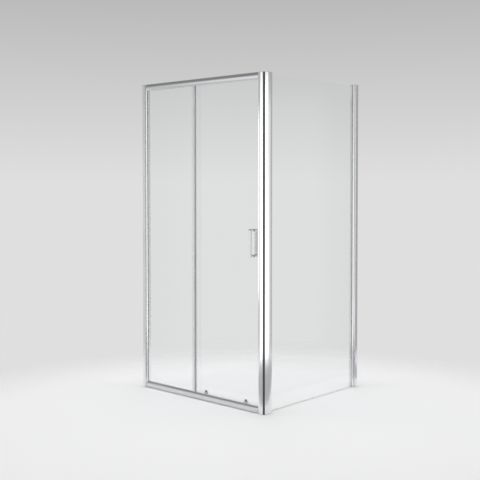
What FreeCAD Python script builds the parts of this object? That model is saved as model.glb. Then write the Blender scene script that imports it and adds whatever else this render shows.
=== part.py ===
import FreeCAD, Part
import math
import operator
import os
import types

import Sketcher

# Corner shower enclosure: a front with a fixed pane and a sliding door, and a fixed side panel.
# Places across are measured from the left wall, places inward from the front plane, and places up
# from the floor.
# Driving dimensions in millimetres.
SIZES = {
    # Whole enclosure
    "front_width": 1010,
    "side_depth": 905,
    "cabin_height": 1900,
    "glass_thickness": 6,
    "extrusion_wall": 2,
    "seat_gap": 0.3,
    "screw_gap": 0.05,
    "overrun": 1,
    # Wall channels and the uprights that slide into them
    "channel_depth": 46,
    "channel_leg": 22,
    "channel_wall": 1.8,
    "adjusting_gap": 8,
    "shoulder_length": 12,
    "nose_length": 13,
    "nose_setback": 8,
    "nose_depth": 30,
    "nose_bulge": 2.5,
    "side_nose_width": 22,
    "groove_depth": 12,
    "gasket_wall": 1.5,
    "fixed_pane_setback": 12.5,
    "side_pane_setback": 30,
    "side_pane_drop": 8,
    "cap_thickness": 2,
    "wall_hole_radius": 2.5,
    "outer_hole_inset": 120,
    "inner_hole_inset": 670,
    # Corner upright, corner profile and the strip between them
    "corner_recess": 15,
    "corner_upright_width": 34,
    "corner_upright_depth": 44,
    "corner_front_bulge": 4,
    "strike_wall": 5,
    "strike_slot_width": 5,
    "strike_slot_depth": 3,
    "flange_length": 14,
    "strip_gap": 5,
    "strip_tongue": 18,
    "leg_setback": 11,
    "corner_side_bulge": 5,
    "corner_profile_end": 72,
    "side_groove_depth": 14,
    # Rails: places named drop are measured from a rail's outer edge, the floor or the top
    "rail_height": 38,
    "fascia_bulge": 5,
    "fascia_wall": 2,
    "rail_groove_depth": 16,
    "track_clearance": 1.2,
    "rib_thickness": 2,
    "rib_drop": 26,
    "shelf_drop": 32,
    "lip_thickness": 1.5,
    "lip_length": 3.5,
    "plug_length": 30,
    "plug_gap": 0.2,
    "rail_screw_radius": 2,
    "rail_screw_length": 36,
    "rail_screw_head_radius": 3.5,
    "rail_screw_head": 3,
    "access_hole_radius": 4.5,
    # Fixing screws and their cover caps
    "fixing_radius": 1.75,
    "fixing_length": 8,
    "fixing_head_radius": 3.2,
    "fixing_head": 1.8,
    "fixing_inset": 200,
    "cover_radius": 5,
    "cover_height": 3.2,
    # Seals
    "edge_strip_grip": 9,
    "edge_strip_wall": 2,
    "lip_seal_thickness": 1.5,
    "lip_seal_gap": 0.5,
    "seal_end_gap": 2,
    "strip_lip_clearance": 5,
    "rear_seal_grip": 10,
    "magnet_seal_grip": 8,
    "magnet_nose": 5.5,
    "closing_gap": 12,
    "bottom_seal_height": 9,
    "bottom_seal_floor": 2,
    "filler_depth": 13,
    # Sliding door
    "door_width": 524,
    "door_edge_gap": 4,
    "door_gap": 1,
    "pane_overlap": 30,
    "open_clearance": 10.5,
    "stop_length": 10,
    "stop_clearance": 0.5,
    "stop_width": 8,
    "stop_drop": 8,
    # Handle
    "handle_inset": 54,
    "handle_centre_height": 950,
    "handle_height": 158,
    "handle_width": 20,
    "handle_bar": 10,
    "handle_arm": 12,
    "handle_standoff": 28,
    "handle_corner": 7,
    "handle_inner_corner": 3,
    "handle_round": 4,
    "handle_stud_radius": 2.5,
    "handle_stud_bite": 10,
    "handle_hole_radius": 4,
    "washer_radius": 7.5,
    "washer_thickness": 1.5,
    # Rollers
    "roller_inset": 103,
    "wheel_radius": 10.5,
    "wheel_root_radius": 8,
    "wheel_width": 6,
    "wheel_rim": 1,
    "axle_radius": 2.5,
    "axle_head_radius": 4,
    "axle_head": 1.5,
    "axle_tail": 6,
    "bush_radius": 6,
    "bush_flange_radius": 8,
    "bush_flange": 1.7,
    "bush_nose_radius": 4,
    "nut_radius": 9,
    "nut_height": 9,
    "nut_dome_radius": 6,
    "nut_rim": 5,
    # Bottom guides with their release buttons
    "guide_width": 19,
    "guide_clearance": 3,
    "guide_height": 10,
    "guide_gap": 1,
    "guide_screw_spread": 14,
    "guide_screw_radius": 1.5,
    "guide_screw_bite": 7,
    "guide_screw_head_radius": 3.2,
    "guide_screw_head": 2.2,
    "guide_hole_radius": 2,
    "stem_width": 9,
    "stem_thickness": 2.2,
    "stem_gap": 0.5,
    "stem_tail": 6.5,
    "button_width": 12,
    "button_depth": 9.6,
    "button_height": 4,
    "button_travel": 3,
    "spring_radius": 2.5,
    "spring_bore_radius": 1.9,
    "spring_pocket_gap": 0.4,
    "spring_pocket_depth": 7,
}

doc = FreeCAD.newDocument("shower_enclosure")
sheet = doc.addObject("Spreadsheet::Sheet", "Sizes")
for row, (alias, number) in enumerate(SIZES.items(), start=1):
    sheet.set(f"A{row}", alias)
    sheet.set(f"B{row}", str(number))
    sheet.setAlias(f"B{row}", alias)
doc.recompute()

OPERATIONS = {"+": operator.add, "-": operator.sub, "*": operator.mul, "/": operator.truediv}


class Size:
    """A length that keeps its number together with the sheet expression that gives it."""

    def __init__(self, number, text):
        self.number = number
        self.text = text

    def __add__(self, other):
        return combined(self, "+", other)

    def __radd__(self, other):
        return combined(other, "+", self)

    def __sub__(self, other):
        return combined(self, "-", other)

    def __rsub__(self, other):
        return combined(other, "-", self)

    def __mul__(self, other):
        return combined(self, "*", other)

    def __rmul__(self, other):
        return combined(other, "*", self)

    def __truediv__(self, other):
        return combined(self, "/", other)

    def __neg__(self):
        return combined(0, "-", self)


def as_size(value):
    """A Size as it is, or a plain number as a Size."""
    if isinstance(value, Size):
        return value
    return Size(value, f"({value})")


def combined(one, sign, two):
    """The Size that two Sizes or numbers give with a sign between them."""
    one, two = as_size(one), as_size(two)
    return Size(OPERATIONS[sign](one.number, two.number), f"({one.text} {sign} {two.text})")


dim = types.SimpleNamespace(**{alias: Size(number, f"Sizes.{alias}") for alias, number in SIZES.items()})

# Numbers of a sketch line's or arc's start, end and centre, and the sketch's own origin
START, END, CENTRE = range(1, 4)
ORIGIN = (-1, START)
sub_parts = []


def bulge_radius(chord, bulge):
    """Radius of the arc that rises by the bulge over its chord."""
    return (chord * chord / 4 + bulge * bulge) / (2 * bulge)


def bound(drawing, kind, elements, value):
    """Add a sketch constraint whose value follows the sheet."""
    value = as_size(value)
    index = drawing.addConstraint(Sketcher.Constraint(kind, *elements, value.number))
    drawing.setExpression(f"Constraints[{index}]", value.text)


def arc_between(here, there, radius, turn):
    """Arc of less than half a circle; turn is 1 for counterclockwise and -1 for clockwise."""
    first, last = (here, there) if turn > 0 else (there, here)
    chord = last - first
    lift = math.sqrt(max(radius**2 - (chord.Length / 2) ** 2, 0))
    left = FreeCAD.Vector(-chord.y, chord.x, 0).normalize()
    centre = (first + last) / 2 + left * lift
    begin = math.atan2(first.y - centre.y, first.x - centre.x)
    finish = math.atan2(last.y - centre.y, last.x - centre.x)
    if finish < begin:
        finish += math.tau
    return Part.ArcOfCircle(Part.Circle(centre, FreeCAD.Vector(0, 0, 1), radius), begin, finish)


def draw_outline(drawing, outline):
    """Draw a closed outline; a vertex with a radius and a turn starts an arc to the next vertex."""
    points = [FreeCAD.Vector(as_size(vertex[0]).number, as_size(vertex[1]).number, 0) for vertex in outline]
    first = drawing.GeometryCount
    starts = []
    for index, vertex in enumerate(outline):
        here, there = points[index], points[(index + 1) % len(points)]
        if len(vertex) > 2:
            radius, turn = vertex[2:]
            drawing.addGeometry(arc_between(here, there, radius.number, turn))
            bound(drawing, "Radius", [first + index], radius)
            starts.append(START if turn > 0 else END)
        else:
            drawing.addGeometry(Part.LineSegment(here, there))
            starts.append(START)
    for index, vertex in enumerate(outline):
        following = (index + 1) % len(outline)
        last_end = START + END - starts[index]
        ends = (first + index, last_end, first + following, starts[following])
        drawing.addConstraint(Sketcher.Constraint("Coincident", *ends))
        bound(drawing, "DistanceX", [*ORIGIN, first + index, starts[index]], vertex[0])
        bound(drawing, "DistanceY", [*ORIGIN, first + index, starts[index]], vertex[1])


def draw_circle(drawing, circle):
    """Draw a circle given by its centre's two coordinates and its radius."""
    along, up, radius = (as_size(value) for value in circle)
    centre = FreeCAD.Vector(along.number, up.number, 0)
    index = drawing.addGeometry(Part.Circle(centre, FreeCAD.Vector(0, 0, 1), radius.number))
    bound(drawing, "DistanceX", [*ORIGIN, index, CENTRE], along)
    bound(drawing, "DistanceY", [*ORIGIN, index, CENTRE], up)
    bound(drawing, "Radius", [index], radius)


def sketch(body, plane, offset, outlines, circles=()):
    """Sketch on one of the body's own origin planes, moved along that plane's normal."""
    drawing = body.newObject("Sketcher::SketchObject", "outline")
    support = next(item for item in body.Origin.OriginFeatures if item.Role == plane)
    drawing.AttachmentSupport = (support, [""])
    drawing.MapMode = "FlatFace"
    drawing.setExpression("AttachmentOffset.Base.z", as_size(offset).text)
    for outline in outlines:
        draw_outline(drawing, outline)
    for circle in circles:
        draw_circle(drawing, circle)
    return drawing


def placed(piece, across=0, inward=0, up=0):
    """Put a piece at its place in the enclosure, whose origin is on the floor at its centre."""
    base = (across - dim.front_width / 2, inward - dim.side_depth / 2, up)
    for axis, value in zip("xyz", base):
        piece.setExpression(f"Placement.Base.{axis}", as_size(value).text)


def new_body(label):
    body = doc.addObject("PartDesign::Body", label)
    body.Label = label
    return body


def padded(body, plane, outlines, start, length):
    """Pad outlines from start, over a length, towards plus X, Y or Z."""
    start, length = as_size(start), as_size(length)
    offset = -(start + length) if plane == "XZ_Plane" else start
    pad = body.newObject("PartDesign::Pad", "pad")
    pad.Profile = sketch(body, plane, offset, outlines)
    pad.setExpression("Length", length.text)
    return pad


def pocketed(body, plane, start, length, outlines=(), circles=()):
    """Cut outlines or circles out of a body from start, over a length, towards plus X, Y or Z."""
    start, length = as_size(start), as_size(length)
    offset = -start if plane == "XZ_Plane" else start + length
    pocket = body.newObject("PartDesign::Pocket", "pocket")
    pocket.Profile = sketch(body, plane, offset, outlines, circles)
    pocket.setExpression("Length", length.text)
    return pocket


def extrusion(label, plane, outlines, start, length):
    """A sub-part that is padded from outlines drawn in the enclosure's own places."""
    body = new_body(label)
    padded(body, plane, outlines, start, length)
    placed(body)
    sub_parts.append(body)
    return body


# Turn of a piece whose axis is drawn upwards, for each way that the axis can point
TURNS = {
    "right": FreeCAD.Rotation(FreeCAD.Vector(0, 1, 0), 90),
    "left": FreeCAD.Rotation(FreeCAD.Vector(0, 1, 0), -90),
    "inward": FreeCAD.Rotation(FreeCAD.Vector(1, 0, 0), -90),
    "outward": FreeCAD.Rotation(FreeCAD.Vector(1, 0, 0), 90),
    "up": FreeCAD.Rotation(),
}


def turned(label, outline, across, inward, up, towards):
    """A piece turned on its axis: the outline gives its radius and its place along the axis."""
    body = new_body(label)
    revolution = body.newObject("PartDesign::Revolution", "turning")
    profile = sketch(body, "XZ_Plane", 0, [outline])
    revolution.Profile = profile
    revolution.ReferenceAxis = (profile, ["V_Axis"])
    body.Placement = FreeCAD.Placement(FreeCAD.Vector(), TURNS[towards])
    placed(body, across, inward, up)
    return body


def turned_part(label, outline, across, inward, up, towards):
    body = turned(label, outline, across, inward, up, towards)
    sub_parts.append(body)
    return body


def group(label, pieces):
    """Like fasteners kept together as one sub-part."""
    compound = doc.addObject("Part::Compound", label)
    compound.Label = label
    compound.Links = pieces
    sub_parts.append(compound)


def rectangle(low_along, low_up, high_along, high_up):
    return [(low_along, low_up), (high_along, low_up), (high_along, high_up), (low_along, high_up)]


def rounded(body, radius, chosen):
    """Round the edges of the body's last feature that the test chooses."""
    doc.recompute()
    last = body.Tip
    edges = [f"Edge{number}" for number, edge in enumerate(last.Shape.Edges, start=1) if chosen(edge)]
    fillet = body.newObject("PartDesign::Fillet", "rounding")
    fillet.Base = (last, edges)
    fillet.setExpression("Radius", radius.text)


# Places shared by several pieces
wall = dim.extrusion_wall
height = dim.cabin_height
profile_height = height - dim.cap_thickness
nose_end = dim.adjusting_gap + dim.shoulder_length + dim.nose_length
nose_radius = bulge_radius(nose_end - dim.channel_leg, dim.nose_bulge)
corner_end = dim.front_width - dim.corner_recess
corner_start = corner_end - dim.corner_upright_width
corner_back = dim.corner_upright_depth
flange_back = corner_back + dim.flange_length
corner_edge = dim.front_width - dim.corner_side_bulge
door_right = corner_start - dim.closing_gap
door_left = door_right - dim.door_width
fixed_edge = door_left + dim.pane_overlap
fixed_front = dim.fixed_pane_setback
fixed_back = fixed_front + dim.glass_thickness
fixed_centre = fixed_front + dim.glass_thickness / 2
groove_front = fixed_front - dim.gasket_wall
groove_back = fixed_back + dim.gasket_wall
track_front = groove_back + wall
rib_centre = track_front + dim.track_clearance + dim.axle_head + dim.seat_gap + dim.wheel_width / 2
wheel_front = rib_centre - dim.wheel_width / 2
wheel_back = rib_centre + dim.wheel_width / 2
stem_front = wheel_back + dim.stem_gap
stem_back = stem_front + dim.stem_thickness
door_front = stem_back + dim.seat_gap
rail_depth = door_front - dim.door_gap
door_back = door_front + dim.glass_thickness
door_centre = door_front + dim.glass_thickness / 2
side_centre = dim.front_width - dim.side_pane_setback
side_left = side_centre - dim.glass_thickness / 2
side_right = side_centre + dim.glass_thickness / 2
side_groove_left = side_left - dim.gasket_wall
side_groove_right = side_right + dim.gasket_wall
groove_drop = dim.rail_height - dim.rail_groove_depth
chamber_start = dim.fascia_bulge + dim.fascia_wall
chamber_end_drop = groove_drop - wall
screw_drop = (wall + chamber_end_drop) / 2
pane_drop = groove_drop + dim.gasket_wall
wheel_drop = dim.rib_drop - dim.seat_gap - dim.wheel_root_radius
roller_places = {"left": door_left + dim.roller_inset, "right": door_right - dim.roller_inset}
seal_bottom = dim.rail_height + dim.seal_end_gap
seal_length = height - 2 * seal_bottom
door_travel = door_left - dim.lip_seal_thickness - nose_end - dim.open_clearance
guide_bottom = dim.shelf_drop + wall + dim.guide_clearance
guide_top = guide_bottom + dim.guide_height
guide_screw_height = guide_bottom + dim.guide_height / 2
button_bottom = guide_top + dim.button_travel + 2 * dim.seat_gap
button_top = button_bottom + dim.button_height
fixing_heights = [dim.fixing_inset, height / 2, height - dim.fixing_inset]
wall_hole_heights = [
    dim.outer_hole_inset,
    dim.inner_hole_inset,
    height - dim.inner_hole_inset,
    height - dim.outer_hole_inset,
]
rail_screw_heights = {"bottom": screw_drop, "top": height - screw_drop}
fixing_hole = dim.fixing_radius + dim.screw_gap
rail_screw_hole = dim.rail_screw_radius + dim.screw_gap


# Left wall channel, a U open to the right, with screw holes in its base
def wall_channel_left():
    leg, deep, thick = dim.channel_leg, dim.channel_depth, dim.channel_wall
    outline = [
        (0, 0),
        (leg, 0),
        (leg, thick),
        (thick, thick),
        (thick, deep - thick),
        (leg, deep - thick),
        (leg, deep),
        (0, deep),
    ]
    body = extrusion("wall_channel_left", "XY_Plane", [outline], 0, profile_height)
    holes = [(deep / 2, up, dim.wall_hole_radius) for up in wall_hole_heights]
    pocketed(body, "YZ_Plane", -dim.overrun, thick + 2 * dim.overrun, circles=holes)
    fixings = [(left_fixing_across, up, fixing_hole) for up in fixing_heights]
    pocketed(body, "XZ_Plane", deep - thick - dim.overrun, thick + 2 * dim.overrun, circles=fixings)


left_fixing_across = dim.adjusting_gap + dim.shoulder_length / 2
wall_channel_left()


# Left upright: a broad shoulder in the channel and a nose with the fixed pane's groove
def upright_left():
    back = dim.adjusting_gap
    shoulder = back + dim.shoulder_length
    low = dim.channel_wall + dim.seat_gap
    high = dim.channel_depth - low
    nose_low = dim.nose_setback
    nose_high = nose_low + dim.nose_depth
    groove_bottom = nose_end - dim.groove_depth
    outline = [
        (back, low),
        (shoulder, low),
        (shoulder, nose_low),
        (dim.channel_leg, nose_low, nose_radius, 1),
        (nose_end, nose_low),
        (nose_end, groove_front),
        (groove_bottom, groove_front),
        (groove_bottom, groove_back),
        (nose_end, groove_back),
        (nose_end, nose_high),
        (shoulder, nose_high),
        (shoulder, high),
        (back, high),
    ]
    shoulder_chamber = rectangle(back + wall, low + wall, shoulder - wall, high - wall)
    nose_chamber = rectangle(shoulder, groove_back + wall, nose_end - wall, nose_high - wall)
    outlines = [outline, shoulder_chamber, nose_chamber]
    body = extrusion("upright_left", "XY_Plane", outlines, 0, profile_height)
    screw_holes = [(fixed_centre, up, rail_screw_hole) for up in rail_screw_heights.values()]
    pocketed(body, "YZ_Plane", shoulder - wall, wall + dim.groove_depth, circles=screw_holes)
    access = [(fixed_centre, up, dim.access_hole_radius) for up in rail_screw_heights.values()]
    pocketed(body, "YZ_Plane", back - dim.overrun, wall + dim.overrun, circles=access)
    fixings = [(left_fixing_across, up, fixing_hole) for up in fixing_heights]
    pocketed(body, "XZ_Plane", high - wall, wall + dim.overrun, circles=fixings)


upright_left()


# Corner upright: a convex front, a slot for the strike seal and a flange behind it
def upright_right():
    low = dim.corner_front_bulge
    front_radius = bulge_radius(dim.corner_upright_width, dim.corner_front_bulge)
    slot_low = door_centre - dim.strike_slot_width / 2
    slot_high = door_centre + dim.strike_slot_width / 2
    slot_bottom = corner_start + dim.strike_slot_depth
    outline = [
        (corner_start, low, front_radius, 1),
        (corner_end, low),
        (corner_end, corner_back),
        (corner_start + wall, corner_back),
        (corner_start + wall, flange_back),
        (corner_start, flange_back),
        (corner_start, slot_high),
        (slot_bottom, slot_high),
        (slot_bottom, slot_low),
        (corner_start, slot_low),
    ]
    chamber = rectangle(corner_start + dim.strike_wall, low + wall, corner_end - wall, corner_back - wall)
    body = extrusion("upright_right", "XY_Plane", [outline, chamber], 0, profile_height)
    screw_holes = [(fixed_centre, up, rail_screw_hole) for up in rail_screw_heights.values()]
    screw_wall = dim.strike_wall + dim.overrun
    pocketed(body, "YZ_Plane", corner_start - dim.overrun, screw_wall, circles=screw_holes)
    access = [(fixed_centre, up, dim.access_hole_radius) for up in rail_screw_heights.values()]
    pocketed(body, "YZ_Plane", corner_end - wall, wall + dim.overrun, circles=access)
    fixings = [(corner_fixing_inward, up, fixing_hole) for up in fixing_heights]
    pocketed(body, "YZ_Plane", corner_start - dim.overrun, wall + dim.overrun, circles=fixings)


corner_fixing_inward = corner_back + dim.flange_length / 2
upright_right()


# Corner profile: an L round the corner upright, with a convex side and the side pane's groove
def corner_profile():
    leg = corner_end + dim.strip_gap
    back = dim.corner_profile_end
    groove_bottom = back - dim.side_groove_depth
    left = corner_start + wall
    side_radius = bulge_radius(back - dim.leg_setback, dim.corner_side_bulge)
    outline = [
        (leg, dim.leg_setback),
        (corner_edge, dim.leg_setback, side_radius, 1),
        (corner_edge, back),
        (side_groove_right, back),
        (side_groove_right, groove_bottom),
        (side_groove_left, groove_bottom),
        (side_groove_left, back),
        (left, back),
        (left, corner_back),
        (leg, corner_back),
    ]
    inner_chamber = rectangle(left + wall, corner_back + wall, side_groove_left - wall, back - wall)
    outer_chamber = rectangle(side_groove_right + wall, corner_back + wall, corner_edge - wall, back - wall)
    outlines = [outline, inner_chamber, outer_chamber]
    body = extrusion("corner_profile", "XY_Plane", outlines, 0, profile_height)
    fixings = [(corner_fixing_inward, up, fixing_hole) for up in fixing_heights]
    pocketed(body, "YZ_Plane", left - dim.overrun, wall + 2 * dim.overrun, circles=fixings)


corner_profile()


# Corner strip: a dark wedge between the two corner pieces, held by its tongue
def corner_strip():
    tongue_end = dim.leg_setback + dim.strip_tongue
    outline = [
        (corner_end, dim.corner_front_bulge),
        (corner_edge, dim.leg_setback),
        (corner_end + dim.strip_gap, dim.leg_setback),
        (corner_end + dim.strip_gap, tongue_end),
        (corner_end, tongue_end),
    ]
    extrusion("corner_strip", "XY_Plane", [outline], 0, profile_height)


corner_strip()


# Wall channel on the back wall, a U open to the front
def wall_channel_side():
    back, thick = dim.side_depth, dim.channel_wall
    mouth = back - dim.channel_leg
    left = side_centre - dim.channel_depth / 2
    right = side_centre + dim.channel_depth / 2
    outline = [
        (left, back),
        (left, mouth),
        (left + thick, mouth),
        (left + thick, back - thick),
        (right - thick, back - thick),
        (right - thick, mouth),
        (right, mouth),
        (right, back),
    ]
    body = extrusion("wall_channel_side", "XY_Plane", [outline], 0, profile_height)
    holes = [(side_centre, up, dim.wall_hole_radius) for up in wall_hole_heights]
    pocketed(body, "XZ_Plane", back - thick - dim.overrun, thick + 2 * dim.overrun, circles=holes)
    fixings = [(side_fixing_inward, up, fixing_hole) for up in fixing_heights]
    pocketed(body, "YZ_Plane", left - dim.overrun, thick + 2 * dim.overrun, circles=fixings)


side_fixing_inward = dim.side_depth - dim.adjusting_gap - dim.shoulder_length / 2
wall_channel_side()


# Side upright: a shoulder in the back wall's channel and a nose with the side pane's groove
def upright_side():
    back = dim.side_depth - dim.adjusting_gap
    shoulder = back - dim.shoulder_length
    left = side_centre - dim.channel_depth / 2 + dim.channel_wall + dim.seat_gap
    right = 2 * side_centre - left
    nose_left = side_centre - dim.side_nose_width / 2
    nose_right = side_centre + dim.side_nose_width / 2
    groove_bottom = side_nose_front + dim.groove_depth
    outline = [
        (left, back),
        (left, shoulder),
        (nose_left, shoulder),
        (nose_left, side_nose_front),
        (side_groove_left, side_nose_front),
        (side_groove_left, groove_bottom),
        (side_groove_right, groove_bottom),
        (side_groove_right, side_nose_front),
        (nose_right, side_nose_front, nose_radius, 1),
        (nose_right, dim.side_depth - dim.channel_leg),
        (nose_right, shoulder),
        (right, shoulder),
        (right, back),
    ]
    chamber = rectangle(left + wall, shoulder + wall, right - wall, back - wall)
    body = extrusion("upright_side", "XY_Plane", [outline, chamber], 0, profile_height)
    fixings = [(side_fixing_inward, up, fixing_hole) for up in fixing_heights]
    pocketed(body, "YZ_Plane", left - dim.overrun, wall + dim.overrun, circles=fixings)


side_nose_front = dim.side_depth - dim.adjusting_gap - dim.shoulder_length - dim.nose_length
upright_side()


# End caps on top of the profiles
def end_caps():
    nose_low = dim.nose_setback
    nose_high = nose_low + dim.nose_depth
    left_outline = [
        (0, 0),
        (dim.channel_leg, 0),
        (dim.channel_leg, nose_low, nose_radius, 1),
        (nose_end, nose_low),
        (nose_end, nose_high),
        (dim.channel_leg, nose_high),
        (dim.channel_leg, dim.channel_depth),
        (0, dim.channel_depth),
    ]
    extrusion("cap_wall_left", "XY_Plane", [left_outline], profile_height, dim.cap_thickness)
    back = dim.corner_profile_end
    low = dim.corner_front_bulge
    corner_outline = [
        (corner_start, low, bulge_radius(dim.corner_upright_width, low), 1),
        (corner_end, low),
        (corner_edge, dim.leg_setback, bulge_radius(back - dim.leg_setback, dim.corner_side_bulge), 1),
        (corner_edge, back),
        (corner_start + wall, back),
        (corner_start + wall, flange_back),
        (corner_start, flange_back),
    ]
    extrusion("cap_corner", "XY_Plane", [corner_outline], profile_height, dim.cap_thickness)
    mouth = dim.side_depth - dim.channel_leg
    left = side_centre - dim.channel_depth / 2
    right = side_centre + dim.channel_depth / 2
    nose_left = side_centre - dim.side_nose_width / 2
    nose_right = side_centre + dim.side_nose_width / 2
    side_outline = [
        (left, dim.side_depth),
        (left, mouth),
        (nose_left, mouth),
        (nose_left, side_nose_front),
        (nose_right, side_nose_front, nose_radius, 1),
        (nose_right, mouth),
        (right, mouth),
        (right, dim.side_depth),
    ]
    extrusion("cap_wall_side", "XY_Plane", [side_outline], profile_height, dim.cap_thickness)


end_caps()


# Rails: one extrusion, upright on the floor and turned over at the top
RAILS = {"bottom": (Size(0, "0"), 1), "top": (height, -1)}


def rail_up(rail, drop):
    """Height of a place that lies by the drop inside a rail's outer edge."""
    edge, way = RAILS[rail]
    return edge + way * as_size(drop)


def rail_outline(rail, places):
    """Outline given inward and by its drop from the rail's outer edge."""
    way = RAILS[rail][1]
    turns = [(place[2], -way * place[3]) if len(place) > 2 else () for place in places]
    return [(place[0], rail_up(rail, place[1]), *turn) for place, turn in zip(places, turns)]


def make_rail(rail):
    front = dim.fascia_bulge
    tall = dim.rail_height
    rib_front = rib_centre - dim.rib_thickness / 2
    rib_back = rib_centre + dim.rib_thickness / 2
    shelf_under = dim.shelf_drop + wall
    lip_front = rail_depth - dim.lip_thickness
    outline = [
        (front, 0, bulge_radius(tall, dim.fascia_bulge), 1),
        (front, tall),
        (groove_front, tall),
        (groove_front, groove_drop),
        (groove_back, groove_drop),
        (groove_back, tall),
        (track_front, tall),
        (track_front, shelf_under),
        (rib_back, shelf_under),
        (rib_back, dim.rib_drop),
        (rib_front, dim.rib_drop),
        (rib_front, dim.shelf_drop),
        (track_front, dim.shelf_drop),
        (track_front, wall),
        (lip_front, wall),
        (lip_front, dim.lip_length),
        (rail_depth, dim.lip_length),
        (rail_depth, 0),
    ]
    chamber = rectangle(chamber_start, wall, groove_back, chamber_end_drop)
    front_chamber = rectangle(chamber_start, groove_drop, groove_front - wall, tall - wall)
    outlines = [rail_outline(rail, places) for places in (outline, chamber, front_chamber)]
    extrusion(f"{rail}_rail", "YZ_Plane", outlines, nose_end, corner_start - nose_end)


def rail_plug(rail, side):
    """Block in the end of a rail's chamber, which the rail's long screw bites into."""
    gap = dim.plug_gap
    places = rectangle(chamber_start + gap, wall + gap, groove_back - gap, chamber_end_drop - gap)
    start = nose_end if side == "left" else corner_start - dim.plug_length
    outline = rail_outline(rail, places)
    body = extrusion(f"rail_plug_{rail}_{side}", "YZ_Plane", [outline], start, dim.plug_length)
    hole = (fixed_centre, rail_up(rail, screw_drop), rail_screw_hole)
    pocketed(body, "YZ_Plane", start - dim.overrun, dim.plug_length + 2 * dim.overrun, circles=[hole])


def screw_outline(radius, length, head_radius, head):
    """Half outline of a screw whose shank points up from the underside of its head."""
    return [(0, -head), (head_radius, -head), (head_radius, 0), (radius, 0), (radius, length), (0, length)]


def rail_screws():
    outline = screw_outline(
        dim.rail_screw_radius, dim.rail_screw_length, dim.rail_screw_head_radius, dim.rail_screw_head
    )
    seats = {
        "right": dim.adjusting_gap + dim.shoulder_length - wall,
        "left": corner_start + dim.strike_wall,
    }
    screws = [
        turned(f"rail_screw_{rail}_{towards}", outline, across, fixed_centre, up, towards)
        for rail, up in rail_screw_heights.items()
        for towards, across in seats.items()
    ]
    group("rail_screws", screws)


for rail_name in RAILS:
    make_rail(rail_name)
    for side_name in ("left", "right"):
        rail_plug(rail_name, side_name)
rail_screws()


# Screws that fix each upright to its channel or profile, with a cover cap on each head
def fixings():
    outline = screw_outline(dim.fixing_radius, dim.fixing_length, dim.fixing_head_radius, dim.fixing_head)
    hollow = dim.fixing_head + dim.seat_gap
    hollow_radius = dim.fixing_head_radius + dim.seat_gap
    cover = [
        (hollow_radius, 0),
        (dim.cover_radius, 0),
        (dim.cover_radius, -hollow),
        (hollow_radius, -dim.cover_height),
        (0, -dim.cover_height),
        (0, -hollow),
        (hollow_radius, -hollow),
    ]
    channel_left = side_centre - dim.channel_depth / 2
    seats = {
        "wall": (left_fixing_across, dim.channel_depth, "outward"),
        "corner": (corner_start, corner_fixing_inward, "right"),
        "side": (channel_left, side_fixing_inward, "right"),
    }
    screws, covers = [], []
    for name, (across, inward, towards) in seats.items():
        for up in fixing_heights:
            screws.append(turned(f"fixing_{name}", outline, across, inward, up, towards))
            covers.append(turned(f"cover_{name}", cover, across, inward, up, towards))
    group("fixing_screws", screws)
    group("fixing_covers", covers)


fixings()


# Fixed pane with its gaskets, and the strips that fill the grooves beside it
def gasket_outline(low_along, high_along, low_across, high_across):
    """Groove lining: a U whose mouth is at the high end along, for a pane across."""
    lining = dim.gasket_wall
    return [
        (high_along, low_across),
        (low_along, low_across),
        (low_along, high_across),
        (high_along, high_across),
        (high_along, high_across - lining),
        (low_along + lining, high_across - lining),
        (low_along + lining, low_across + lining),
        (high_along, low_across + lining),
    ]


def fixed_pane():
    groove_bottom = nose_end - dim.groove_depth
    pane_left = groove_bottom + dim.gasket_wall
    pane_height = height - 2 * pane_drop
    pane = rectangle(pane_left, pane_drop, fixed_edge, pane_drop + pane_height)
    extrusion("fixed_glass", "XZ_Plane", [pane], fixed_front, dim.glass_thickness)
    lining = gasket_outline(groove_bottom, nose_end, groove_front, groove_back)
    extrusion("fixed_gasket_wall", "XY_Plane", [lining], pane_drop, pane_height)
    for rail in RAILS:
        turned_lining = [
            (inward, drop)
            for drop, inward in gasket_outline(groove_drop, dim.rail_height, groove_front, groove_back)
        ]
        outline = rail_outline(rail, turned_lining)
        extrusion(f"fixed_gasket_{rail}", "YZ_Plane", [outline], nose_end, fixed_edge - nose_end)
        filler_start = dim.rail_height - dim.filler_depth
        filler = rail_outline(rail, rectangle(groove_front, filler_start, groove_back, dim.rail_height))
        across = fixed_edge + dim.edge_strip_wall
        extrusion(f"groove_filler_{rail}", "YZ_Plane", [filler], across, corner_start - across)


fixed_pane()


# Strip on the fixed pane's free edge, with a lip that reaches towards the door
def edge_strip():
    grip_start = fixed_edge - dim.edge_strip_grip
    end = fixed_edge + dim.edge_strip_wall
    outline = [
        (grip_start, groove_front),
        (end, groove_front),
        (end, groove_back),
        (grip_start, groove_back),
        (grip_start, fixed_back),
        (fixed_edge, fixed_back),
        (fixed_edge, fixed_front),
        (grip_start, fixed_front),
    ]
    start = dim.rail_height
    body = extrusion("fixed_edge_strip", "XY_Plane", [outline], start, height - 2 * start)
    lip_end = door_front - dim.lip_seal_gap
    lip = rectangle(end - dim.lip_seal_thickness, groove_back, end, lip_end)
    lip_bottom = button_top + dim.strip_lip_clearance
    padded(body, "XY_Plane", [lip], lip_bottom, height - 2 * lip_bottom)


edge_strip()


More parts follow.
